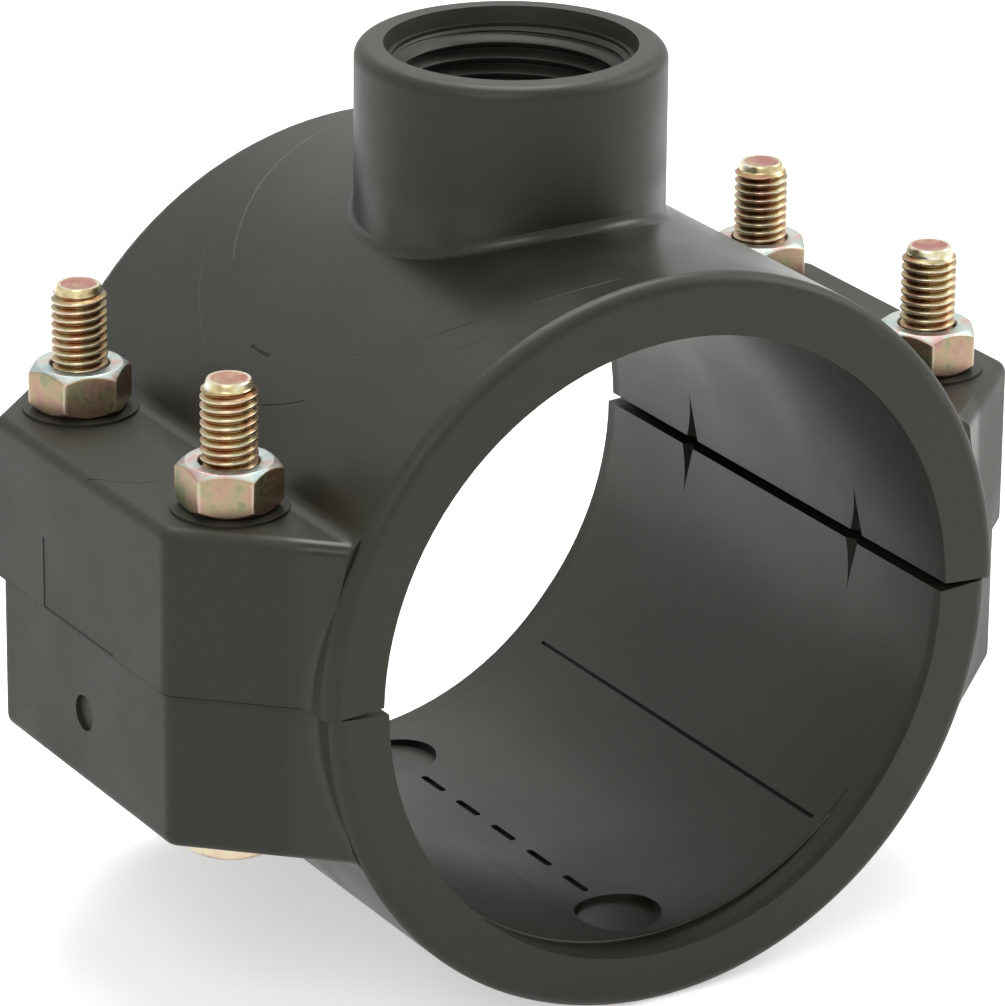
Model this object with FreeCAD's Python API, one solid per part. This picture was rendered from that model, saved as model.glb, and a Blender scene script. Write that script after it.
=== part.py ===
import FreeCAD, Part
import math
import os

# Tapping saddle for a 90 mm plastic pipe, with a 1 inch pipe-threaded outlet on top.
# X runs across the bolt blocks, Y along the pipe and Z up through the outlet.
# The origin is where the pipe axis crosses the outlet axis. All sizes are in millimetres.

# Pipe and half shells
pipeDia = 90.0
saddleLength = 90.0
partingHeight = 0.5
sealRoom = 0.8
upperWall = 8.7
lowerWall = 8.3
endRounding = 2.0
partingBevelUpper = 0.65
partingBevelLower = 0.55

# Bolt blocks at the two sides
blockFaceMargin = 12.0
blockEndMargin = 3.3
blockFlankAngle = 43.4
upperBlockHeight = 24.6
lowerBlockHeight = 22.6
lowerInset = 0.7
blockCornerRounding = 2.5
blockEdgeRounding = 1.8
blockSeamRounding = 3.0
padHeight = 0.4
padMargin = 0.7

# Outlet with a 1 inch parallel pipe thread, 11 turns to the inch
outletHeight = 76.0
outletDia = 44.2
outletRimRounding = 2.0
outletBaseRounding = 1.6
leadInDia = 35.9
leadInFootDia = 35.1
leadInDepth = 2.25
stepDia = 33.8
stepDepth = 0.5
threadMajorDia = 33.25
threadLength = 15.5
passageDia = 26.0

# Rubber ring round the passage
ringInnerDia = 31.0
ringWidth = 5.0
ringThickness = 3.6
ringGrooveClearance = 0.1
ringPipeClearance = 0.05
ringCurveDrop = 1.5

# M8 bolts and nuts
boltDia = 8.0
boltStandOff = 2.5
boltPairSpacing = 44.4
boltHoleClearance = 0.5
hexFlats = 13.0
headTurn = 30.0
headHeight = 5.3
headPocketDepth = 2.8
headPocketClearance = 0.2
nutHeight = 6.5
nutBoreClearance = 0.05
nutMouthDia = 8.8
bevelAngle = 38.0
bevelCircleShare = 0.94
boltShow = 11.7
boltTipBevel = 0.95
boltTipLength = 1.5
nutTurnDegrees = {"front_left": 27.5, "front_right": 2.0, "rear_left": 46.0, "rear_right": 2.0}

# Pointed notches in the bore at the parting plane, one beside each bolt
notchWidth = 3.4
notchHeight = 8.2
notchDepth = 1.0

# Marks in the bore of the lower half
endBandWidth = 5.0
endBandDepth = 0.75
endBandSpread = 50.0
bandStepRounding = 0.3
sideGrooveAngle = 40.4
sideGrooveLength = 75.5
sideGrooveWidth = 0.45
sideGrooveDepth = 0.1
markDepth = 0.7
dashCount = 5
dashPitch = 10.2
dashLength = 6.2
dashWidth = 1.1
discDia = 12.5
discSpacing = 64.0

# Marks on the left block
plateLength = 21.3
plateHeight = 10.5
plateAboveParting = 0.3
plateDepth = 0.1
dimpleDia = 5.2
dimpleBelowParting = 12.1
dimpleDepth = 0.7

# Worked out from the sizes above
pipeRadius = pipeDia / 2
halfLength = saddleLength / 2
upperBore = pipeRadius + sealRoom
upperOuter = upperBore + upperWall
lowerOuter = pipeRadius + lowerWall
boltX = upperOuter + boltStandOff
boltY = boltPairSpacing / 2
blockReach = boltX + blockFaceMargin
blockFaceLength = boltPairSpacing + 2 * blockEndMargin
seatHeight = upperBlockHeight + padHeight
hexCorner = hexFlats / math.sqrt(3)
bevelCircle = hexFlats / 2 * bevelCircleShare
headSeat = -lowerBlockHeight + headPocketDepth
boltTip = seatHeight + nutHeight + boltShow
stepTop = outletHeight - leadInDepth
threadChamfer = (stepDia - threadMajorDia) / 2
threadTop = stepTop - stepDepth - threadChamfer
threadBottom = threadTop - threadLength

xAxis = FreeCAD.Vector(1, 0, 0)
yAxis = FreeCAD.Vector(0, 1, 0)
zAxis = FreeCAD.Vector(0, 0, 1)
boltPlaces = {
    "front_left": (-boltX, -boltY),
    "front_right": (boltX, -boltY),
    "rear_left": (-boltX, boltY),
    "rear_right": (boltX, boltY),
}


def vec(x, y, z):
    return FreeCAD.Vector(x, y, z)


def polygonFace(points):
    corners = [vec(*point) for point in points]
    return Part.Face(Part.makePolygon(corners + corners[:1]))


def alongPipe(radius, length, centreZ=0.0):
    # a cylinder along Y, centred on the middle of the saddle
    return Part.makeCylinder(radius, length, vec(0, -length / 2, centreZ), yAxis)


def upright(radius, bottom, top, x=0.0, y=0.0):
    return Part.makeCylinder(radius, top - bottom, vec(x, y, bottom), zAxis)


def centredBox(sizeX, sizeY, sizeZ, centre):
    corner = vec(centre[0] - sizeX / 2, centre[1] - sizeY / 2, centre[2] - sizeZ / 2)
    return Part.makeBox(sizeX, sizeY, sizeZ, corner)


def hexPrism(acrossFlats, bottom, top, x, y, turn):
    radius = acrossFlats / math.sqrt(3)
    corners = []
    for step in range(6):
        angle = math.radians(turn + 60 * step)
        corners.append((x + radius * math.cos(angle), y + radius * math.sin(angle), bottom))
    return polygonFace(corners).extrude(vec(0, 0, top - bottom))


def oneSide(side):
    # all the space above (side 1) or below (side -1) the parting plane
    size = 6 * blockReach
    return centredBox(size, size, size, (0, 0, partingHeight + side * size / 2))


def barrel(radius):
    # a solid cylinder along the pipe with rounded end edges
    mid = radius - endRounding * (1 - math.sqrt(0.5))
    midEnd = halfLength - endRounding * (1 - math.sqrt(0.5))
    flatEdge = radius - endRounding
    flatEnd = halfLength - endRounding
    front = Part.Arc(vec(flatEdge, -halfLength, 0), vec(mid, -midEnd, 0), vec(radius, -flatEnd, 0))
    rear = Part.Arc(vec(radius, flatEnd, 0), vec(mid, midEnd, 0), vec(flatEdge, halfLength, 0))
    outline = [
        Part.makeLine(vec(0, -halfLength, 0), vec(flatEdge, -halfLength, 0)),
        front.toShape(),
        Part.makeLine(vec(radius, -flatEnd, 0), vec(radius, flatEnd, 0)),
        rear.toShape(),
        Part.makeLine(vec(flatEdge, halfLength, 0), vec(0, halfLength, 0)),
        Part.makeLine(vec(0, halfLength, 0), vec(0, -halfLength, 0)),
    ]
    return Part.Face(Part.Wire(outline)).revolve(vec(0, 0, 0), yAxis, 360)


def pickEdges(shape, test):
    return [edge for edge in shape.Edges if test(edge.BoundBox)]


def edgesThrough(shape, test):
    # the edges whose two ends and middle all pass the test
    picked = []
    for edge in shape.Edges:
        first, last = edge.FirstParameter, edge.LastParameter
        points = [edge.valueAt(first + share * (last - first)) for share in (0, 0.5, 1)]
        if all(test(point) for point in points):
            picked.append(edge)
    return picked


def boltBlock(reach, faceLength, height, outerRadius, side):
    # one right-hand block: a six-sided plan with rounded corners, rising from the parting plane
    inner = math.sqrt((outerRadius - lowerWall / 2) ** 2 - height ** 2)
    flank = faceLength / 2 + (reach - inner) * math.tan(math.radians(blockFlankAngle))
    far = side * height
    plan = polygonFace([(inner, -flank, partingHeight), (reach, -faceLength / 2, partingHeight),
                        (reach, faceLength / 2, partingHeight), (inner, flank, partingHeight)])
    block = plan.extrude(vec(0, 0, far - partingHeight))
    corners = pickEdges(block, lambda box: box.XMin > reach - 0.01 and box.ZLength > height / 2)
    block = block.makeFillet(blockCornerRounding, corners)
    rim = pickEdges(block, lambda box: abs(box.ZMin - far) < 0.01 and box.ZLength < 0.01
                    and box.XMax > inner + 0.01)
    return block.makeFillet(blockEdgeRounding, rim)


def bothSides(shape):
    return shape.fuse(shape.mirror(vec(0, 0, 0), xAxis))


def blockedHalf(outerRadius, block, side):
    # one half before its cuts: the barrel and both blocks, with a rounded valley where they meet
    over = 4 * blockSeamRounding
    half = alongPipe(outerRadius, saddleLength + 2 * over).common(oneSide(side))
    half = half.fuse(bothSides(block)).removeSplitter()
    onBarrel = edgesThrough(half, lambda point: abs(math.hypot(point.x, point.z) - outerRadius) < 0.01
                            and abs(point.y) < halfLength + over / 2)
    seams = [edge for edge in onBarrel if edge.BoundBox.ZLength > 0.5]
    half = half.makeFillet(blockSeamRounding, seams)
    between = centredBox(4 * blockReach, saddleLength - 2 * endRounding, 4 * blockReach, (0, 0, 0))
    return half.common(barrel(outerRadius).fuse(between))


def pyramid(base, tip):
    sides = [polygonFace([first, second, tip]) for first, second in zip(base, base[1:] + base[:1])]
    return Part.Solid(Part.Shell([polygonFace(base)] + sides))


def boreNotch(x, y, boreRadius, side):
    # deepest at the parting plane and running out up or down the bore
    toward = 1 if x > 0 else -1
    lead = notchDepth / 2
    widen = (notchDepth + lead) / notchDepth * notchWidth / 2
    near = toward * (boreRadius - lead)
    base = [(near, y - widen, partingHeight), (toward * (boreRadius + notchDepth), y, partingHeight),
            (near, y + widen, partingHeight)]
    tipHeight = partingHeight + side * notchHeight
    far = math.sqrt(boreRadius ** 2 - tipHeight ** 2)
    return pyramid(base, (toward * far, y, tipHeight))


def partingWedge(outerRadius, bevel, side):
    # the parting faces of the ring lean away from each other towards the bore
    inner = pipeRadius - sealRoom
    slope = bevel / (outerRadius - pipeRadius)
    rise = side * slope * (outerRadius - inner)
    wedge = polygonFace([(inner, -saddleLength, partingHeight), (outerRadius, -saddleLength, partingHeight),
                         (inner, -saddleLength, partingHeight + rise)])
    return bothSides(wedge.extrude(vec(0, 2 * saddleLength, 0)))


def boltCuts(boreRadius, side):
    # clearance holes and bore notches for the four bolts in one half
    cuts = []
    height = 2 * max(upperBlockHeight, lowerBlockHeight)
    for x, y in boltPlaces.values():
        cuts += [upright(boltDia / 2 + boltHoleClearance, -height, height, x, y),
                 boreNotch(x, y, boreRadius, side)]
    return cuts


def ringRoom(innerRadius, outerRadius, farRadius):
    # a ring round the outlet axis that ends at a cylinder about the pipe axis
    sleeve = upright(outerRadius, 0, outletHeight).cut(upright(innerRadius, 0, outletHeight))
    return sleeve.common(alongPipe(farRadius, saddleLength))


def makeSealingRing():
    # the face on the pipe has a slightly flatter curve, so it meets the top of the pipe first
    inner = ringInnerDia / 2
    near = pipeRadius + ringPipeClearance
    ring = ringRoom(inner, inner + ringWidth, near + ringThickness)
    return ring.cut(alongPipe(near + ringCurveDrop, saddleLength, -ringCurveDrop))


def outletBody():
    outlet = upright(outletDia / 2, pipeRadius / 2, outletHeight)
    rim = pickEdges(outlet, lambda box: box.ZMin > outletHeight - 0.01)
    return outlet.makeFillet(outletRimRounding, rim)


def addOutlet(body):
    # the outlet, with a rounded foot where it meets the barrel
    body = body.fuse(outletBody()).removeSplitter()
    foot = edgesThrough(body, lambda point: abs(math.hypot(point.x, point.y) - outletDia / 2) < 0.01
                        and abs(math.hypot(point.x, point.z) - upperOuter) < 0.01)
    return body.makeFillet(outletBaseRounding, foot)


def outletBore():
    # a tapered mouth, a short step and a chamfer lead down to the thread
    major = threadMajorDia / 2
    mouth = Part.makeCone(leadInFootDia / 2, leadInDia / 2, leadInDepth, vec(0, 0, stepTop), zAxis)
    step = upright(stepDia / 2, stepTop - stepDepth, stepTop)
    chamfer = Part.makeCone(major, stepDia / 2, threadChamfer, vec(0, 0, threadTop), zAxis)
    thread = upright(major, threadBottom, threadTop)
    passage = upright(passageDia / 2, 0, threadBottom)
    return mouth.fuse([step, chamfer, thread, passage])


def makeUpperSaddle():
    block = boltBlock(blockReach, blockFaceLength, upperBlockHeight, upperOuter, 1)
    padRadius = hexCorner + padMargin
    pads = [upright(padRadius, partingHeight, seatHeight, x, y) for x, y in boltPlaces.values()]
    body = addOutlet(blockedHalf(upperOuter, block, 1)).fuse(pads)
    inner = ringInnerDia / 2 - ringGrooveClearance
    outer = ringInnerDia / 2 + ringWidth + ringGrooveClearance
    far = pipeRadius + ringPipeClearance + ringThickness + ringGrooveClearance
    plate = centredBox(2 * plateDepth, plateLength, plateHeight,
                       (-blockReach, 0, partingHeight + plateAboveParting + plateHeight / 2))
    cuts = [alongPipe(upperBore, 2 * saddleLength), outletBore(), ringRoom(inner, outer, far),
            partingWedge(upperOuter, partingBevelUpper, 1), plate]
    return body.cut(cuts + boltCuts(upperBore, 1)).removeSplitter()


def endBands():
    # at both ends the floor of the bore steps down to an eccentric, slightly deeper round
    offset = endBandDepth / (1 - math.cos(math.radians(endBandSpread)))
    deeper = alongPipe(pipeRadius + endBandDepth - offset, 2 * saddleLength, -offset)
    step = halfLength - endBandWidth
    crest = pipeRadius + bandStepRounding
    back = step - bandStepRounding
    lean = bandStepRounding * math.sqrt(0.5)
    corner = Part.Arc(vec(crest, step, 0), vec(crest - lean, back + lean, 0), vec(pipeRadius, back, 0))
    outline = [Part.makeLine(vec(0, back, 0), vec(0, saddleLength, 0)),
               Part.makeLine(vec(0, saddleLength, 0), vec(2 * crest, saddleLength, 0)),
               Part.makeLine(vec(2 * crest, saddleLength, 0), vec(2 * crest, step, 0)),
               Part.makeLine(vec(2 * crest, step, 0), vec(crest, step, 0)),
               corner.toShape(),
               Part.makeLine(vec(pipeRadius, back, 0), vec(0, back, 0))]
    rear = Part.Face(Part.Wire(outline)).revolve(vec(0, 0, 0), yAxis, 360).common(deeper)
    return [rear, rear.mirror(vec(0, 0, 0), yAxis)]


def roundEndSlot(length, width, bottom, top, centreX, centreY):
    # an upright slot with round ends along Y
    reach = (length - width) / 2
    middle = centredBox(width, 2 * reach, top - bottom, (centreX, centreY, (top + bottom) / 2))
    ends = [upright(width / 2, bottom, top, centreX, centreY + end * reach) for end in (-1, 1)]
    return middle.fuse(ends)


def boreMarks():
    low = -pipeRadius - markDepth
    top = -pipeRadius + markDepth
    dashes = []
    for index in range(dashCount):
        centreY = (index - (dashCount - 1) / 2) * dashPitch
        dashes.append(roundEndSlot(dashLength, dashWidth, low, top, 0, centreY))
    discs = [upright(discDia / 2, low, top, 0, end * discSpacing / 2) for end in (-1, 1)]
    angle = math.radians(sideGrooveAngle)
    centreX = pipeRadius * math.sin(angle)
    height = -pipeRadius * math.cos(angle)
    rise = sideGrooveWidth / 2 * math.tan(angle)
    groove = roundEndSlot(sideGrooveLength, sideGrooveWidth, height - rise - sideGrooveDepth,
                          height + 2 * rise, centreX, 0)
    return dashes + discs + [groove]


def headPockets():
    flats = hexFlats + 2 * headPocketClearance
    return [hexPrism(flats, -2 * lowerBlockHeight, headSeat, x, y, headTurn) for x, y in boltPlaces.values()]


def sideDimple():
    # a blind hole in the left face of the lower half
    face = -blockReach + lowerInset
    start = vec(face - dimpleDepth, 0, partingHeight - dimpleBelowParting)
    return Part.makeCylinder(dimpleDia / 2, 2 * dimpleDepth, start, xAxis)


def makeLowerSaddle():
    block = boltBlock(blockReach - lowerInset, blockFaceLength - 2 * lowerInset, lowerBlockHeight,
                      lowerOuter, -1)
    body = blockedHalf(lowerOuter, block, -1)
    cuts = [alongPipe(pipeRadius, 2 * saddleLength), sideDimple(),
            partingWedge(lowerOuter, partingBevelLower, -1)]
    cuts += endBands() + boreMarks() + boltCuts(pipeRadius, -1) + headPockets()
    return body.cut(cuts).removeSplitter()


def bevelBody(bottom, top, bevelBottom, bevelTop, x, y):
    # a turned blank that bevels the corners of a hexagon at its chosen ends
    drop = (hexCorner - bevelCircle) * math.tan(math.radians(bevelAngle))
    wide = hexCorner + 0.1
    widen = drop * (wide - bevelCircle) / (hexCorner - bevelCircle)
    outline = [(0, bottom)]
    outline += [(bevelCircle, bottom), (wide, bottom + widen)] if bevelBottom else [(wide, bottom)]
    outline += [(wide, top - widen), (bevelCircle, top)] if bevelTop else [(wide, top)]
    outline += [(0, top)]
    face = polygonFace([(x + radius, y, height) for radius, height in outline])
    return face.revolve(vec(x, y, 0), zAxis, 360)


def makeNut(x, y, turn):
    top = seatHeight + nutHeight
    nut = hexPrism(hexFlats, seatHeight, top, x, y, turn)
    nut = nut.common(bevelBody(seatHeight, top, True, True, x, y))
    boreRadius = boltDia / 2 + nutBoreClearance
    mouth = nutMouthDia / 2
    flare = mouth - boreRadius
    bore = upright(boreRadius, seatHeight - 1, top + 1, x, y)
    upperMouth = Part.makeCone(boreRadius, mouth, flare, vec(x, y, top - flare), zAxis)
    lowerMouth = Part.makeCone(mouth, boreRadius, flare, vec(x, y, seatHeight), zAxis)
    return nut.cut([bore, upperMouth, lowerMouth])


def makeBolt(x, y):
    bottom = headSeat - headHeight
    head = hexPrism(hexFlats, bottom, headSeat, x, y, headTurn)
    head = head.common(bevelBody(bottom, headSeat, True, False, x, y))
    radius = boltDia / 2
    shank = upright(radius, bottom + headHeight / 2, boltTip - boltTipLength, x, y)
    tipFoot = vec(x, y, boltTip - boltTipLength)
    tip = Part.makeCone(radius, radius - boltTipBevel, boltTipLength, tipFoot, zAxis)
    return head.fuse([shank, tip]).removeSplitter()


def build():
    nodes = {
        "upper_saddle": makeUpperSaddle(),
        "lower_saddle": makeLowerSaddle(),
        "sealing_ring": makeSealingRing(),
    }
    for place, (x, y) in boltPlaces.items():
        nodes["bolt_" + place] = makeBolt(x, y)
        nodes["nut_" + place] = makeNut(x, y, nutTurnDegrees[place])
    return nodes


os.makedirs("parts", exist_ok=True)
for name, shape in build().items():
    shape.exportStep("parts/" + name + ".step")
    print(name, "solids", len(shape.Solids), "valid", shape.isValid(), "volume", round(shape.Volume))
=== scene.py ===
import math

import bmesh
import bpy
from mathutils import Matrix, Vector


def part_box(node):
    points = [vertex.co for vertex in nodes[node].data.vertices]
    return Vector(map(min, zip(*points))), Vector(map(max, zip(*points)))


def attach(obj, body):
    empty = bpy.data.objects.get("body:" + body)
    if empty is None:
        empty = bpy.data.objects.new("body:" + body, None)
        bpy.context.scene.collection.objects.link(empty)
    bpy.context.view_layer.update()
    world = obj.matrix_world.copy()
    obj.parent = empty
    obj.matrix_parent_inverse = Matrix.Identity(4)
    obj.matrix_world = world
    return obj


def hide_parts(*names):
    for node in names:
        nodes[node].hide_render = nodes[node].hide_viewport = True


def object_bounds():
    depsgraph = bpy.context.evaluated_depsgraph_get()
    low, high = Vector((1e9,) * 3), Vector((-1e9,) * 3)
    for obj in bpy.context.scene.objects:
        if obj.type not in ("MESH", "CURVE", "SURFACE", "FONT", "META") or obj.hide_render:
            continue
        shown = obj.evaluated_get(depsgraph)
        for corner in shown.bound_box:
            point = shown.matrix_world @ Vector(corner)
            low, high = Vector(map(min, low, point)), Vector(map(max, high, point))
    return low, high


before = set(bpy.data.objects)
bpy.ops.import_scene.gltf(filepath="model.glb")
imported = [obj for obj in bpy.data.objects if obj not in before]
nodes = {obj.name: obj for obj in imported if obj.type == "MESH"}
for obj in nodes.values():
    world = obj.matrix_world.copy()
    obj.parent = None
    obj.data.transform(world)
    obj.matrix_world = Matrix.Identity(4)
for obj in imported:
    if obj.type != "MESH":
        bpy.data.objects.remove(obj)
cadLow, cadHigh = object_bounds()
print("frame loaded:", len(nodes), "solids")

places = ["front_left", "front_right", "rear_left", "rear_right"]
mm = 0.001
mergeDistance = 0.002 * mm
sharpAngle = math.radians(38)
fullTurn = 2 * math.pi


# small mesh helpers

def meshObject(name, bm):
    # one clean mesh, smooth except at its hard edges
    bmesh.ops.remove_doubles(bm, verts=bm.verts, dist=mergeDistance)
    bmesh.ops.dissolve_degenerate(bm, edges=bm.edges, dist=mergeDistance)
    bmesh.ops.recalc_face_normals(bm, faces=bm.faces)
    mesh = bpy.data.meshes.new(name)
    bm.to_mesh(mesh)
    bm.free()
    mesh.shade_smooth()
    mesh.set_sharp_from_angle(angle=sharpAngle)
    obj = bpy.data.objects.new(name, mesh)
    bpy.context.scene.collection.objects.link(obj)
    return obj


def addRows(bm, rows):
    # each row is a closed ring of points with the same count; neighbours are joined with quads
    made = [[bm.verts.new(point) for point in row] for row in rows]
    for lower, upper in zip(made, made[1:]):
        for i in range(len(lower)):
            j = (i + 1) % len(lower)
            bm.faces.new((lower[i], lower[j], upper[j], upper[i]))
    return made


def addHelix(bm, rows, perTurn):
    # each row climbs one turn's share round the axis, so its end meets the start of the row one turn on
    made = [[bm.verts.new(point) for point in row] for row in rows]
    last = len(made[0]) - 1
    for r in range(len(made) - 1):
        for i in range(last):
            bm.faces.new((made[r][i], made[r][i + 1], made[r + 1][i + 1], made[r + 1][i]))
        if r + 1 + perTurn < len(made):
            above = made[r + perTurn][0], made[r + 1 + perTurn][0]
            bm.faces.new((made[r][last], *above, made[r + 1][last]))


def ringPoints(centre, angles, radiusAt, heightAt):
    x, y = centre
    return [Vector((x + radiusAt(a) * math.cos(a), y + radiusAt(a) * math.sin(a), heightAt(a)))
            for a in angles]


def boltCentre(node):
    low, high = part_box(node)
    return (low.x + high.x) / 2, (low.y + high.y) / 2


# hexagons with turned bevels, for the nuts and the bolt heads

sideDegrees = 60
hexShape = {
    "flats": 13.0 * mm,
    "cornerRounding": 0.28 * mm,
    "bevelCircle": 6.1 * mm,
    "bevelSlope": math.tan(math.radians(38)),
    "edgeRounding": 0.13 * mm,
    "roundedFrom": math.radians(22),
    "roundingSteps": 3,
    # degrees from a flat's middle: close steps at the corners, even ones between them
    "steps": [-30, -29.6, -29.1, -26, -21, -16, -10.5, -5, 0, 5, 10.5, 16, 21, 26, 29.1, 29.6],
}


def hexAngles(turn):
    middles = [turn + sideDegrees / 2 + sideDegrees * side for side in range(6)]
    return [math.radians(middle + step) for middle in middles for step in hexShape["steps"]]


def hexRadius(angle, turn):
    # distance from the axis to the hexagon's side, with its corners rounded
    half = hexShape["flats"] / 2
    rounding = hexShape["cornerRounding"]
    corner = sideDegrees / 2
    fromFlat = (math.degrees(angle) - turn) % sideDegrees - corner
    limit = math.degrees(math.atan((half - rounding) * math.tan(math.radians(corner)) / half))
    if abs(fromFlat) <= limit:
        return half / math.cos(math.radians(fromFlat))
    reach = (half - rounding) / math.cos(math.radians(corner))
    away = math.radians(corner - abs(fromFlat))
    return reach * math.cos(away) + math.sqrt(max(0.0, rounding ** 2 - (reach * math.sin(away)) ** 2))


def hexRows(centre, turn, bottom, top, bevelBottom, bevelTop):
    # the outside of the hexagon from its lower bevel circle to its upper one
    angles = hexAngles(turn)
    circle = hexShape["bevelCircle"]

    def drop(angle):
        return (hexRadius(angle, turn) - circle) * hexShape["bevelSlope"]

    rows = []
    if bevelBottom:
        rows.append(ringPoints(centre, angles, lambda a: circle, lambda a: bottom))
    rows.append(ringPoints(centre, angles, lambda a: hexRadius(a, turn),
                           lambda a: bottom + (drop(a) if bevelBottom else 0)))
    rows.append(ringPoints(centre, angles, lambda a: hexRadius(a, turn),
                           lambda a: top - (drop(a) if bevelTop else 0)))
    if bevelTop:
        rows.append(ringPoints(centre, angles, lambda a: circle, lambda a: top))
    return angles, rows


def softenRings(bm, width):
    # rounds the ring-shaped hard edges that a turned bevel leaves
    bm.edges.ensure_lookup_table()
    joined = [edge for edge in bm.edges if len(edge.link_faces) == 2]
    hard = [edge for edge in joined if edge.calc_face_angle(0) > hexShape["roundedFrom"]]
    bmesh.ops.bevel(bm, geom=hard, offset=width, segments=hexShape["roundingSteps"], profile=0.5,
                    affect="EDGES", clamp_overlap=True)


# nuts

nutShape = {
    "boreRadius": 4.05 * mm,
    "mouthRadius": 4.4 * mm,
    "turn": {"front_left": 27.5, "front_right": 2.0, "rear_left": 46.0, "rear_right": 2.0},
}


def makeNut(place):
    node = "nut_" + place
    low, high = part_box(node)
    centre = boltCentre("bolt_" + place)
    turn = nutShape["turn"][place]
    angles, rows = hexRows(centre, turn, low.z, high.z, True, True)
    bore = nutShape["boreRadius"]
    mouth = nutShape["mouthRadius"]
    flare = mouth - bore
    inside = [ringPoints(centre, angles, lambda a: mouth, lambda a: high.z),
              ringPoints(centre, angles, lambda a: bore, lambda a: high.z - flare),
              ringPoints(centre, angles, lambda a: bore, lambda a: low.z + flare),
              ringPoints(centre, angles, lambda a: mouth, lambda a: low.z)]
    bm = bmesh.new()
    addRows(bm, rows + inside + [rows[0]])
    bmesh.ops.remove_doubles(bm, verts=bm.verts, dist=mergeDistance)
    softenRings(bm, hexShape["edgeRounding"])
    nut = meshObject("hexNut_" + place, bm)
    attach(nut, place + "_nut")
    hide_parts(node)
    return nut


# bolts with a rolled right-hand thread

boltShape = {
    "radius": 4.0 * mm,
    "rootRadius": 3.32 * mm,
    "pitch": 1.25 * mm,
    "threadLength": 22.0 * mm,
    "runOut": 2.0 * mm,
    # the point: how far below the end, and how wide the thread may be there
    "point": [(0.0, 3.0), (0.12, 3.1), (1.0, 3.34), (1.6, 4.0)],
    "columns": 56,
    # how far the shank's start lies inside the head
    "shankInHead": 0.5 * mm,
    "headHeight": 5.3 * mm,
    "headTurn": 30.0,
    "headInnerShare": 0.55,
    # how far along one pitch, and how deep from crest (0) to root (1)
    "profile": [(-0.19, 0.2), (-0.11, 0.05), (0.0, 0.0), (0.11, 0.05), (0.19, 0.2), (0.37, 0.85),
                (0.46, 1.0), (0.54, 1.0), (0.63, 0.85)],
    # the sheared end is very slightly dished: share of its radius, and depth in millimetres
    "end": [(1.0, 0.0), (0.9, 0.0), (0.72, 0.05), (0.4, 0.09)],
    # turns of thread made beyond each end, then pressed flat onto it
    "spareTurns": 3,
    # where the thread starts on each bolt, as a share of one turn
    "phase": {"front_left": 0.1, "front_right": 0.62, "rear_left": 0.35, "rear_right": 0.8},
}


def pointRadius(below):
    # the widest that the thread may be so far below the bolt's end
    steps = boltShape["point"]
    for (near, small), (far, large) in zip(steps, steps[1:]):
        if below <= far * mm:
            return (small + (large - small) * (below / mm - near) / (far - near)) * mm
    return boltShape["radius"]


def boltThreadRows(centre, bottom, top, phase):
    # rows that climb one pitch per turn, flattened to plain circles at both ends
    radius = boltShape["radius"]
    depth = radius - boltShape["rootRadius"]
    pitch = boltShape["pitch"]
    columns = boltShape["columns"]
    spare = boltShape["spareTurns"]
    turns = int((top - bottom) / pitch) + spare
    rows = []
    for turn in range(-spare, turns):
        for along, deep in boltShape["profile"]:
            row = []
            for i in range(columns):
                angle = fullTurn * i / columns
                z = bottom + pitch * (turn + along + i / columns + phase)
                z = min(max(z, bottom), top)
                fade = min(1.0, (z - bottom) / boltShape["runOut"])
                r = min(radius - depth * deep * fade, pointRadius(top - z))
                row.append(Vector((centre[0] + r * math.cos(angle), centre[1] + r * math.sin(angle), z)))
            rows.append(row)
    return rows


def makeBolt(place):
    node = "bolt_" + place
    low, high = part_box(node)
    centre = boltCentre(node)
    seat = low.z + boltShape["headHeight"]
    threadStart = high.z - boltShape["threadLength"]
    columns = [fullTurn * i / boltShape["columns"] for i in range(boltShape["columns"])]
    bm = bmesh.new()
    shank = addRows(bm, [ringPoints(centre, columns, lambda a: boltShape["radius"], lambda a: height)
                         for height in (seat - boltShape["shankInHead"], threadStart)])
    bm.faces.new(shank[0])
    threadRows = boltThreadRows(centre, threadStart, high.z, boltShape["phase"][place])
    addHelix(bm, threadRows, len(boltShape["profile"]))
    end = addRows(bm, [ringPoints(centre, columns, lambda a: share * pointRadius(0),
                                  lambda a: high.z - dip * mm)
                       for share, dip in boltShape["end"]])
    bm.faces.new(end[-1])
    angles, headRows = hexRows(centre, boltShape["headTurn"], low.z, seat, True, False)
    head = bmesh.new()
    headMade = addRows(head, headRows)
    head.faces.new(headMade[-1])
    innerRadius = boltShape["headInnerShare"] * hexShape["bevelCircle"]
    inner = ringPoints(centre, angles, lambda a: innerRadius, lambda a: low.z)
    innerVerts = [head.verts.new(point) for point in inner]
    for i in range(len(innerVerts)):
        j = (i + 1) % len(innerVerts)
        head.faces.new((headMade[0][i], innerVerts[i], innerVerts[j], headMade[0][j]))
    head.faces.new(innerVerts)
    bmesh.ops.recalc_face_normals(head, faces=head.faces)
    softenRings(head, hexShape["edgeRounding"])
    headMesh = bpy.data.meshes.new("boltHead")
    head.to_mesh(headMesh)
    head.free()
    bm.from_mesh(headMesh)
    bpy.data.meshes.remove(headMesh)
    bolt = meshObject("threadedBolt_" + place, bm)
    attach(bolt, "lower")
    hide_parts(node)
    return bolt


nuts = [makeNut(place) for place in places]
bolts = [makeBolt(place) for place in places]
print("nuts and bolts made")


# the outlet's inside thread, 11 turns to the inch

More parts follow.
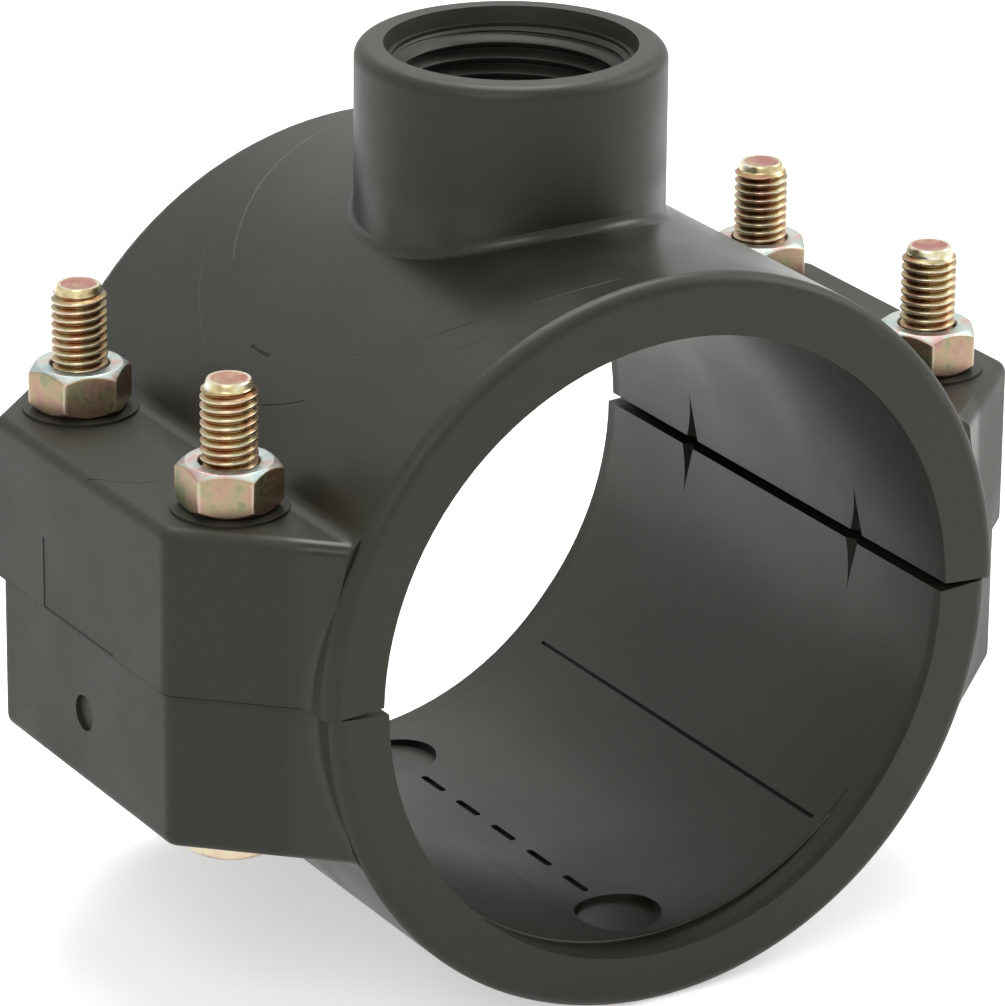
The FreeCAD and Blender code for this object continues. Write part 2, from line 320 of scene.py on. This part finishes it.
outletThread = {
    "wallRadius": 16.6 * mm,
    "depth": 1.45 * mm,
    "backRadius": 16.72 * mm,
    "pitch": 25.4 / 11 * mm,
    "bottom": 57.5 * mm,
    "top": 72.95 * mm,
    "crestStart": 57.1 * mm,
    "columns": 120,
    "spareTurns": 2,
    # how steeply the ridge rises from the thread's lower end
    "footSlope": 1.2,
    # how far along one pitch, and how far the ridge stands in from the wall
    "profile": [(0.0, 1.0), (0.03, 0.985), (0.06, 0.94), (0.12, 0.82), (0.25, 0.52), (0.38, 0.2),
                (0.44, 0.06), (0.5, 0.0), (0.56, 0.06), (0.62, 0.2), (0.75, 0.52), (0.88, 0.82),
                (0.94, 0.94), (0.97, 0.985)],
}


def makeOutletThread():
    shape = outletThread
    columns = shape["columns"]
    bottom, top = shape["bottom"], shape["top"]
    circle = [fullTurn * i / columns for i in range(columns)]

    def plainRow(radius, height):
        return ringPoints((0, 0), circle, lambda a: radius, lambda a: height)

    rows = []
    turns = int((top - bottom) / shape["pitch"]) + 1 + shape["spareTurns"]
    for turn in range(-shape["spareTurns"], turns):
        for along, stand in shape["profile"]:
            row = []
            for i in range(columns):
                z = shape["crestStart"] + shape["pitch"] * (turn + along + i / columns)
                z = min(max(z, bottom), top)
                room = min(top - z, shape["footSlope"] * (z - bottom), shape["depth"])
                r = shape["wallRadius"] - min(shape["depth"] * stand, room)
                row.append(Vector((r * math.cos(circle[i]), r * math.sin(circle[i]), z)))
            rows.append(row)
    bm = bmesh.new()
    addHelix(bm, rows, len(shape["profile"]))
    addRows(bm, [plainRow(shape["wallRadius"], top), plainRow(shape["backRadius"], top),
                 plainRow(shape["backRadius"], bottom), plainRow(shape["wallRadius"], bottom)])
    thread = meshObject("outletThread", bm)
    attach(thread, "upper")
    return thread


threadRing = makeOutletThread()
print("outlet thread made")


# materials

def newMaterial(name):
    material = bpy.data.materials.new(name)
    material.use_nodes = True
    tree = material.node_tree
    tree.nodes.clear()
    output = tree.nodes.new("ShaderNodeOutputMaterial")
    shader = tree.nodes.new("ShaderNodeBsdfPrincipled")
    tree.links.new(shader.outputs["BSDF"], output.inputs["Surface"])
    return material, tree, shader


def mathNode(tree, operation, first, second=None, clamp=False):
    node = tree.nodes.new("ShaderNodeMath")
    node.operation = operation
    node.use_clamp = clamp
    for index, value in enumerate((first, second)):
        if value is None:
            continue
        if isinstance(value, (int, float)):
            node.inputs[index].default_value = value
        else:
            tree.links.new(value, node.inputs[index])
    return node.outputs[0]


def noiseNode(tree, vector, scale, detail=2.0, roughness=0.5):
    node = tree.nodes.new("ShaderNodeTexNoise")
    node.inputs["Scale"].default_value = scale
    node.inputs["Detail"].default_value = detail
    node.inputs["Roughness"].default_value = roughness
    tree.links.new(vector, node.inputs["Vector"])
    return node.outputs["Fac"]


def rangeNode(tree, value, fromLow, fromHigh, toLow, toHigh, smooth=True):
    node = tree.nodes.new("ShaderNodeMapRange")
    node.interpolation_type = "SMOOTHSTEP" if smooth else "LINEAR"
    tree.links.new(value, node.inputs["Value"])
    for key, number in zip(("From Min", "From Max", "To Min", "To Max"), (fromLow, fromHigh, toLow, toHigh)):
        node.inputs[key].default_value = number
    return node.outputs["Result"]


def rampNode(tree, value, stops):
    node = tree.nodes.new("ShaderNodeValToRGB")
    tree.links.new(value, node.inputs["Fac"])
    ramp = node.color_ramp
    while len(ramp.elements) < len(stops):
        ramp.elements.new(0.5)
    for element, (place, colour) in zip(ramp.elements, stops):
        element.position = place
        element.color = (*colour, 1.0)
    return node.outputs["Color"]


def mixColour(tree, share, first, second):
    node = tree.nodes.new("ShaderNodeMix")
    node.data_type = "RGBA"
    tree.links.new(share, node.inputs[0])
    for socket, colour in ((node.inputs[6], first), (node.inputs[7], second)):
        if isinstance(colour, tuple):
            socket.default_value = (*colour, 1.0)
        else:
            tree.links.new(colour, socket)
    return node.outputs[2]


def bumpNode(tree, height, strength, distance, normal=None):
    node = tree.nodes.new("ShaderNodeBump")
    node.inputs["Strength"].default_value = strength
    node.inputs["Distance"].default_value = distance
    tree.links.new(height, node.inputs["Height"])
    if normal is not None:
        tree.links.new(normal, node.inputs["Normal"])
    return node.outputs["Normal"]


def objectPoint(tree):
    coords = tree.nodes.new("ShaderNodeTexCoord")
    split = tree.nodes.new("ShaderNodeSeparateXYZ")
    tree.links.new(coords.outputs["Object"], split.inputs["Vector"])
    return coords, split.outputs


plasticLook = {
    "dark": (0.0105, 0.0107, 0.0072),
    "light": (0.0185, 0.0186, 0.0142),
    "ior": 1.49,
    "gloss": 0.38,
    "glossTint": (1.0, 0.99, 0.88, 1.0),
    "roughness": (0.29, 0.40),
    # each noise has its scale, detail and roughness
    "flow": (45.0, 4.0, 0.55),
    "mottle": (900.0, 3.0, 0.6),
    "skin": (2600.0, 2.0, 0.5),
    "flowShare": 0.7,
    "toneRange": (0.32, 0.68),
    # a few pale specks of dust
    "speck": (0.20, 0.20, 0.19),
    "speckScale": 170.0,
    "speckEdge": (0.03, 0.055),
    "speckRarity": 0.965,
    # the blocks' outer faces start here, in metres; they are duller and carry a fine grain
    "blockFaces": (0.0535, 0.057),
    "blockRoughness": 0.22,
    "grainSize": 0.22 * mm,
    "grainBump": 0.8,
    # the outlet's skin is a little duller than the rest
    "outletFrom": (0.056, 0.060),
    "outletRoughness": 0.10,
    # painted shade: the fine dark line where the two halves meet on the blocks stands for the shade in the
    # joint
    "jointHeight": 0.5,
    "jointWidth": 0.16,
    "jointFrom": (0.0545, 0.0555),
    "jointShade": 0.8,
    # painted shade: lines too narrow to let light out are painted black inside, with no sheen
    "paintedShadeColour": (0.001, 0.001, 0.001),
    # the rounded rims at both ends of the saddle are a little duller
    "rimStart": 42.8,
    "rimWidth": 0.7,
    "rimRoughness": 0.15,
    # the marks fade out over this length at their ends, and lie only above this height
    "markFade": 0.8,
    "markHeight": (22.0, 23.5),
    # fine circles that a tool left round the outlet on the upper half, and a short dent, in millimetres
    # a mark's shade share paints shade into its groove
    "marks": [
        {"centre": (0.0, 0.0), "radius": 44.6, "fromY": -16.0, "toY": -7.0, "toX": -30.0,
         "width": 0.16, "rise": -0.05, "shade": 0.6},
        {"centre": (0.0, 0.0), "radius": 45.2, "fromY": -38.0, "toY": -28.0, "toX": -25.0,
         "width": 0.13, "rise": 0.025, "shade": 0.0},
        {"centre": (0.0, 0.0), "radius": 43.8, "fromY": 11.0, "toY": 29.0, "toX": -33.0,
         "width": 0.13, "rise": 0.03, "shade": 0.0},
        {"centre": (0.0, 0.0), "radius": 40.4, "fromY": -40.2, "toY": -17.0, "toX": -3.0,
         "width": 0.13, "rise": 0.03, "shade": 0.0},
        {"centre": (0.0, 0.0), "radius": 39.2, "fromY": 20.0, "toY": 38.7, "toX": -4.0,
         "width": 0.13, "rise": 0.03, "shade": 0.0},
        {"centre": (0.0, 0.0), "radius": 40.1, "fromY": -3.0, "toY": 3.0, "toX": -30.0,
         "width": 0.3, "rise": -0.1, "shade": 0.5},
        {"centre": (-58.5, 1.5), "radius": 10.8, "fromY": -9.6, "toY": -2.0, "toX": -57.5,
         "width": 0.17, "rise": -0.05, "shade": 0.6},
    ],
}


def markShare(tree, axes, mark):
    # 1 on the arc's line and 0 beside it or beyond its ends
    dx = mathNode(tree, "SUBTRACT", axes["X"], mark["centre"][0] * mm)
    dy = mathNode(tree, "SUBTRACT", axes["Y"], mark["centre"][1] * mm)
    away = mathNode(tree, "SQRT", mathNode(tree, "ADD", mathNode(tree, "MULTIPLY", dx, dx),
                                           mathNode(tree, "MULTIPLY", dy, dy)))
    off = mathNode(tree, "ABSOLUTE", mathNode(tree, "SUBTRACT", away, mark["radius"] * mm))
    share = rangeNode(tree, off, 0.2 * mark["width"] * mm, mark["width"] * mm, 1.0, 0.0)
    fade = plasticLook["markFade"]
    for socket, low, high, first in (("Y", mark["fromY"], mark["fromY"] + fade, 0.0),
                                     ("Y", mark["toY"] - fade, mark["toY"], 1.0),
                                     ("X", mark["toX"] - fade, mark["toX"], 1.0),
                                     ("Z", *plasticLook["markHeight"], 0.0)):
        window = rangeNode(tree, axes[socket], low * mm, high * mm, first, 1.0 - first)
        share = mathNode(tree, "MULTIPLY", share, window)
    return share


def makePlastic(name, marks):
    look = plasticLook
    material, tree, shader = newMaterial(name)
    coords, axes = objectPoint(tree)
    point = coords.outputs["Object"]
    # slow flow marks and a finer mottle in the moulded skin
    flow = noiseNode(tree, point, *look["flow"])
    mottle = noiseNode(tree, point, *look["mottle"])
    tone = mathNode(tree, "ADD", mathNode(tree, "MULTIPLY", flow, look["flowShare"]),
                    mathNode(tree, "MULTIPLY", mottle, 1.0 - look["flowShare"]))
    colour = rampNode(tree, tone, list(zip(look["toneRange"], (look["dark"], look["light"]))))
    cells = tree.nodes.new("ShaderNodeTexVoronoi")
    cells.inputs["Scale"].default_value = look["speckScale"]
    tree.links.new(point, cells.inputs["Vector"])
    close = rangeNode(tree, cells.outputs["Distance"], *look["speckEdge"], 1.0, 0.0)
    split = tree.nodes.new("ShaderNodeSeparateColor")
    tree.links.new(cells.outputs["Color"], split.inputs["Color"])
    rare = mathNode(tree, "GREATER_THAN", split.outputs[0], look["speckRarity"])
    speck = mathNode(tree, "MULTIPLY", close, rare)
    colour = mixColour(tree, speck, colour, look["speck"])
    # only upright faces carry the full grain
    sideways = mathNode(tree, "ABSOLUTE", axes["X"])
    outer = rangeNode(tree, sideways, *look["blockFaces"], 0.0, 1.0)
    normals = tree.nodes.new("ShaderNodeSeparateXYZ")
    tree.links.new(coords.outputs["Normal"], normals.inputs["Vector"])
    upright = rangeNode(tree, mathNode(tree, "ABSOLUTE", normals.outputs["Z"]), 0.5, 0.8, 1.0, 0.15)
    grainShare = mathNode(tree, "MULTIPLY", outer, upright)
    grain = noiseNode(tree, point, 1.0 / look["grainSize"], 2.0, 0.6)
    low, high = look["roughness"]
    roughness = rangeNode(tree, flow, 0.3, 0.7, low, high)
    duller = mathNode(tree, "MULTIPLY", outer, look["blockRoughness"])
    roughness = mathNode(tree, "ADD", roughness, duller)
    outlet = rangeNode(tree, axes["Z"], *look["outletFrom"], 0.0, look["outletRoughness"])
    roughness = mathNode(tree, "ADD", roughness, outlet)
    start = look["rimStart"] * mm
    rim = rangeNode(tree, mathNode(tree, "ABSOLUTE", axes["Y"]), start, start + look["rimWidth"] * mm,
                    0.0, look["rimRoughness"])
    roughness = mathNode(tree, "ADD", roughness, rim)
    tree.links.new(roughness, shader.inputs["Roughness"])
    shader.inputs["IOR"].default_value = look["ior"]
    shader.inputs["Specular IOR Level"].default_value = look["gloss"]
    shader.inputs["Specular Tint"].default_value = look["glossTint"]
    skin = noiseNode(tree, point, *look["skin"])
    normal = bumpNode(tree, skin, 0.10, 0.08 * mm)
    normal = bumpNode(tree, flow, 0.06, 0.6 * mm, normal)
    height = mathNode(tree, "MULTIPLY", grain, grainShare)
    normal = bumpNode(tree, height, look["grainBump"], 0.12 * mm, normal)
    # painted shade: the joint line and the dark marks are painted black and made metallic so they lose their
    # sheen
    fromJoint = mathNode(tree, "ABSOLUTE", mathNode(tree, "SUBTRACT", axes["Z"], look["jointHeight"] * mm))
    width = look["jointWidth"] * mm
    paintedShade = rangeNode(tree, fromJoint, 0.3 * width, width, look["jointShade"], 0.0)
    paintedShade = mathNode(tree, "MULTIPLY", paintedShade, rangeNode(tree, sideways, *look["jointFrom"], 0.0, 1.0))
    steep = rangeNode(tree, mathNode(tree, "ABSOLUTE", normals.outputs["Z"]), 0.5, 0.6, 1.0, 0.0)
    paintedShade = mathNode(tree, "MULTIPLY", paintedShade, steep)
    for mark in marks:
        share = markShare(tree, axes, mark)
        normal = bumpNode(tree, share, 1.0, mark["rise"] * mm, normal)
        paintedShade = mathNode(tree, "MAXIMUM", paintedShade, mathNode(tree, "MULTIPLY", share, mark["shade"]))
    colour = mixColour(tree, paintedShade, colour, look["paintedShadeColour"])
    tree.links.new(paintedShade, shader.inputs["Metallic"])
    tree.links.new(colour, shader.inputs["Base Color"])
    tree.links.new(normal, shader.inputs["Normal"])
    return material


# yellow passivated zinc; stain, pale and rim are distances from the bolt's axis, in millimetres
zincLooks = {
    "bolt": {
        "sides": [(0.32, (0.28, 0.27, 0.15)), (0.45, (0.42, 0.34, 0.18)), (0.57, (0.42, 0.26, 0.14)),
                  (0.68, (0.40, 0.20, 0.15))],
        "topTintAndReflection": [(0.36, (0.46, 0.32, 0.17)), (0.48, (0.44, 0.23, 0.16)), (0.60, (0.38, 0.14, 0.11))],
        # gold on the point, with pale patches that are partly painted highlight
        "point": [(0.36, (0.84, 0.82, 0.72)), (0.50, (0.68, 0.60, 0.32)), (0.64, (0.46, 0.35, 0.19))],
        "roughness": (0.25, 0.36),
        "upward": (0.90, 0.98),
        "patchScale": 330.0,
        "stain": (3.4, 3.72),
        "stainColour": (0.20, 0.075, 0.022),
        # painted highlight: the thread's crests are painted pale
        "pale": (3.86, 3.99),
        "wearAndHighlight": 0.45,
        "rim": (2.4, 2.75),
        # the bevelled point's look begins between these two distances below the bolt's end
        "pointLength": (1.3, 1.0),
        "shift": 0.013,
    },
    "nut": {
        "sides": [(0.34, (0.24, 0.25, 0.15)), (0.45, (0.34, 0.28, 0.17)), (0.55, (0.38, 0.26, 0.18)),
                  (0.66, (0.36, 0.22, 0.18))],
        # painted reflection: the pale blue tops stand for the sky seen in the nut's top faces and bevels
        "topTintAndReflection": [(0.34, (0.34, 0.42, 0.42)), (0.50, (0.44, 0.48, 0.44)), (0.64, (0.48, 0.34, 0.31))],
        "roughness": (0.36, 0.48),
        "upward": (0.70, 0.77),
        "patchScale": 330.0,
        "stain": (4.1, 4.6),
        "stainColour": (0.12, 0.07, 0.03),
        "pale": (7.25, 7.45),
        "wearAndHighlight": 0.3,
        "shift": 0.031,
    },
}
paleZinc = (0.74, 0.70, 0.56)
# scale, detail and roughness of the coat's fine noise, and detail and roughness of its patches
fineZinc = (1500.0, 3.0, 0.55)
patchDetail = (3.0, 0.55)


def boltAxisDistance(tree, axes):
    # distance from the nearest bolt's axis, the same for all four
    x, y = boltCentre("bolt_front_right")
    dx = mathNode(tree, "SUBTRACT", mathNode(tree, "ABSOLUTE", axes["X"]), abs(x))
    dy = mathNode(tree, "SUBTRACT", mathNode(tree, "ABSOLUTE", axes["Y"]), abs(y))
    return mathNode(tree, "SQRT", mathNode(tree, "ADD", mathNode(tree, "MULTIPLY", dx, dx),
                                           mathNode(tree, "MULTIPLY", dy, dy)))


def makeZinc(name, look):
    # patches of straw, gold, pink and green on the sides, other ones on the upward faces, darker in the
    # roots; on the nuts the upward faces carry pale blue patches as painted sky reflection
    material, tree, shader = newMaterial(name)
    coords, axes = objectPoint(tree)
    point = coords.outputs["Object"]
    moved = tree.nodes.new("ShaderNodeVectorMath")
    moved.operation = "ADD"
    moved.inputs[1].default_value = (look["shift"], look["shift"] * 0.7, look["shift"] * 1.3)
    tree.links.new(point, moved.inputs[0])
    patches = noiseNode(tree, moved.outputs["Vector"], look["patchScale"], *patchDetail)
    normals = tree.nodes.new("ShaderNodeSeparateXYZ")
    tree.links.new(coords.outputs["Normal"], normals.inputs["Vector"])
    upward = rangeNode(tree, normals.outputs["Z"], *look["upward"], 0.0, 1.0)
    sides = rampNode(tree, patches, look["sides"])
    away = boltAxisDistance(tree, axes)
    stain = rangeNode(tree, away, look["stain"][0] * mm, look["stain"][1] * mm, 1.0, 0.0)
    stain = mathNode(tree, "MULTIPLY", stain, rangeNode(tree, patches, 0.35, 0.65, 0.6, 1.0))
    sides = mixColour(tree, stain, sides, look["stainColour"])
    topTintAndReflection = rampNode(tree, patches, look["topTintAndReflection"])
    if "point" in look:
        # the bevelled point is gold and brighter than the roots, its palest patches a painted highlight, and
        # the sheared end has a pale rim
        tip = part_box("bolt_front_left")[1].z
        start, end = look["pointLength"]
        atPoint = rangeNode(tree, axes["Z"], tip - start * mm, tip - end * mm, 0.0, 1.0)
        sides = mixColour(tree, atPoint, sides, rampNode(tree, patches, look["point"]))
        rim = rangeNode(tree, away, look["rim"][0] * mm, look["rim"][1] * mm, 0.0, 0.7)
        topTintAndReflection = mixColour(tree, rim, topTintAndReflection, paleZinc)
    colour = mixColour(tree, upward, sides, topTintAndReflection)
    # painted highlight on the bolt's thread crests; on the nuts the paler corners are wear
    wearAndHighlightShare = rangeNode(tree, away, look["pale"][0] * mm, look["pale"][1] * mm, 0.0, look["wearAndHighlight"])
    colour = mixColour(tree, wearAndHighlightShare, colour, paleZinc)
    fine = noiseNode(tree, point, *fineZinc)
    tree.links.new(rangeNode(tree, fine, 0.3, 0.7, *look["roughness"]), shader.inputs["Roughness"])
    tree.links.new(colour, shader.inputs["Base Color"])
    shader.inputs["Metallic"].default_value = 1.0
    tree.links.new(bumpNode(tree, fine, 0.05, 0.03 * mm), shader.inputs["Normal"])
    return material


rubberLook = {
    "colours": [(0.35, (0.010, 0.010, 0.010)), (0.7, (0.022, 0.022, 0.021))],
    "roughness": (0.5, 0.68),
    "dust": (260.0, 4.0, 0.6),
    "skinScale": 3000.0,
}


def makeRubber(name):
    look = rubberLook
    material, tree, shader = newMaterial(name)
    point = objectPoint(tree)[0].outputs["Object"]
    dust = noiseNode(tree, point, *look["dust"])
    tree.links.new(rampNode(tree, dust, look["colours"]), shader.inputs["Base Color"])
    tree.links.new(rangeNode(tree, dust, 0.3, 0.7, *look["roughness"]), shader.inputs["Roughness"])
    skin = noiseNode(tree, point, look["skinScale"])
    tree.links.new(bumpNode(tree, skin, 0.15, 0.06 * mm), shader.inputs["Normal"])
    return material


def dress(obj, material):
    obj.data.materials.clear()
    obj.data.materials.append(material)


upperPlastic = makePlastic("upperPlastic", plasticLook["marks"])
lowerPlastic = makePlastic("lowerPlastic", [])
boltZinc = makeZinc("boltZinc", zincLooks["bolt"])
nutZinc = makeZinc("nutZinc", zincLooks["nut"])
sealRubber = makeRubber("sealRubber")
dress(nodes["upper_saddle"], upperPlastic)
dress(nodes["lower_saddle"], lowerPlastic)
dress(nodes["sealing_ring"], sealRubber)
dress(threadRing, upperPlastic)
for bolt in bolts:
    dress(bolt, boltZinc)
for nut in nuts:
    dress(nut, nutZinc)
print("materials made")


# floor, light and camera

studio = {
    "floorSize": 6.0,
    "floorColour": (0.82, 0.82, 0.82),
    "floorRoughness": 0.95,
    "floorGloss": 0.1,
    "floorFill": 0.52,
    "worldLight": 0.46,
    "lamps": [
        {"name": "keyLight", "from": (-1.0, -1.0, 1.2), "size": 0.9, "power": 9.0},
        {"name": "topLight", "from": (0.3, 0.5, 1.5), "size": 1.0, "power": 22.0},
        {"name": "sideLight", "from": (1.3, -0.3, 0.9), "size": 0.8, "power": 9.0},
    ],
}


def seenShare(tree):
    # 1 for what the camera sees, straight or in a reflection
    path = tree.nodes.new("ShaderNodeLightPath")
    seen = mathNode(tree, "MAXIMUM", path.outputs["Is Camera Ray"], path.outputs["Is Glossy Ray"])
    return mathNode(tree, "MAXIMUM", seen, path.outputs["Is Transmission Ray"])


def makeFloor():
    half = studio["floorSize"] / 2
    bm = bmesh.new()
    corners = ((-half, -half), (half, -half), (half, half), (-half, half))
    bm.faces.new([bm.verts.new((x, y, cadLow.z)) for x, y in corners])
    mesh = bpy.data.meshes.new("paleFloor")
    bm.to_mesh(mesh)
    bm.free()
    floor = bpy.data.objects.new("paleFloor", mesh)
    bpy.context.scene.collection.objects.link(floor)
    material, tree, shader = newMaterial("floorPaper")
    shader.inputs["Base Color"].default_value = (*studio["floorColour"], 1.0)
    shader.inputs["Roughness"].default_value = studio["floorRoughness"]
    shader.inputs["Specular IOR Level"].default_value = studio["floorGloss"]
    shader.inputs["Emission Color"].default_value = (1.0, 1.0, 1.0, 1.0)
    fill = mathNode(tree, "MULTIPLY", seenShare(tree), studio["floorFill"])
    tree.links.new(fill, shader.inputs["Emission Strength"])
    dress(floor, material)


def makeWorld():
    world = bpy.data.worlds.new("whiteStudio")
    bpy.context.scene.world = world
    world.use_nodes = True
    tree = world.node_tree
    background = tree.nodes["Background"]
    background.inputs["Color"].default_value = (1.0, 1.0, 1.0, 1.0)
    seen = seenShare(tree)
    strength = rangeNode(tree, seen, 0.0, 1.0, studio["worldLight"], 1.0, smooth=False)
    tree.links.new(strength, background.inputs["Strength"])


def makeLamps():
    for lamp in studio["lamps"]:
        data = bpy.data.lights.new(lamp["name"], "AREA")
        data.shape = "SQUARE"
        data.size = lamp["size"]
        data.energy = lamp["power"]
        obj = bpy.data.objects.new(lamp["name"], data)
        obj.location = lamp["from"]
        obj.rotation_euler = (-Vector(lamp["from"])).to_track_quat("-Z", "Y").to_euler()
        bpy.context.scene.collection.objects.link(obj)


photoCamera = {
    "azimuth": -31.09,
    "elevation": 20.05,
    "roll": 0.64,
    "focalPixels": 6194.0,
    "centre": (526.64, 381.0),
    "distance": 893.15 * mm,
    "aside": -2.96 * mm,
    "above": -23.96 * mm,
    "imageWidth": 1005,
    "imageHeight": 1006,
    "sensorWidth": 36.0,
    "clip": (0.05, 50.0),
}


def makeCamera():
    look = photoCamera
    az, el, roll = (math.radians(look[key]) for key in ("azimuth", "elevation", "roll"))
    forward = Vector((-math.sin(az) * math.cos(el), math.cos(az) * math.cos(el), -math.sin(el)))
    right = Vector((math.cos(az), math.sin(az), 0.0))
    up = right.cross(forward)
    right, up = (right * math.cos(roll) + up * math.sin(roll), up * math.cos(roll) - right * math.sin(roll))
    data = bpy.data.cameras.new("photoCamera")
    longSide = max(look["imageWidth"], look["imageHeight"])
    data.sensor_width = look["sensorWidth"]
    data.lens = look["focalPixels"] * data.sensor_width / longSide
    data.shift_x = (look["imageWidth"] / 2 - look["centre"][0]) / longSide
    data.shift_y = (look["centre"][1] - look["imageHeight"] / 2) / longSide
    data.dof.use_dof = False
    data.clip_start, data.clip_end = look["clip"]
    camera = bpy.data.objects.new("photoCamera", data)
    camera.location = -look["distance"] * forward - look["aside"] * right - look["above"] * up
    camera.rotation_euler = Matrix((right, up, -forward)).transposed().to_euler()
    bpy.context.scene.collection.objects.link(camera)
    bpy.context.scene.camera = camera


makeFloor()
makeWorld()
makeLamps()
makeCamera()
bpy.context.scene.view_settings.view_transform = "Standard"
print("studio ready")
